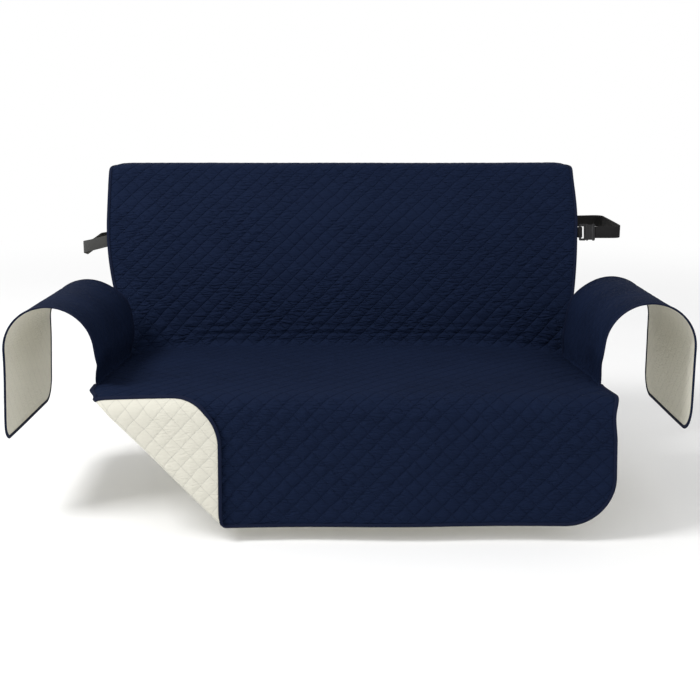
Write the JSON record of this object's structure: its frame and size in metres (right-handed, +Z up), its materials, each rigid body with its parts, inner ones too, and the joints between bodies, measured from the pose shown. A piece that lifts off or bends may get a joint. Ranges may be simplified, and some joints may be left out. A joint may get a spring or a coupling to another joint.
{
  "type": "sofa slipcover",
  "caption": "Reversible diamond-quilted loveseat slipcover draped over back, seat and both arms, with bound edges, a turned-back corner and an elastic strap with a buckle.",
  "frame": {"origin": "under the middle of the cover's top, where it lies on the top of the sofa's back", "axes": "+X to the right as seen from the front, along the sofa's width; +Y to the sofa's rear; +Z up"},
  "size_m": [1.6595, 0.9673, 0.7859],
  "materials": {
    "quilted_cloth": "navy brushed microfibre, quilted in diamonds, with a cream reverse",
    "binding": "navy folded tape, stitched",
    "strap": "dark grey woven elastic",
    "buckle": "black moulded plastic"
  },
  "bodies": {
    "root": {"main_panel": "quilted_cloth", "arm_panel_left": "quilted_cloth", "arm_panel_right": "quilted_cloth", "binding_front": "binding", "binding_back": "binding", "binding_arm_left": "binding", "binding_arm_right": "binding", "strap": "strap", "tab": "strap", "ring": "buckle", "buckle_body": "buckle"}
  },
  "joints": []
}
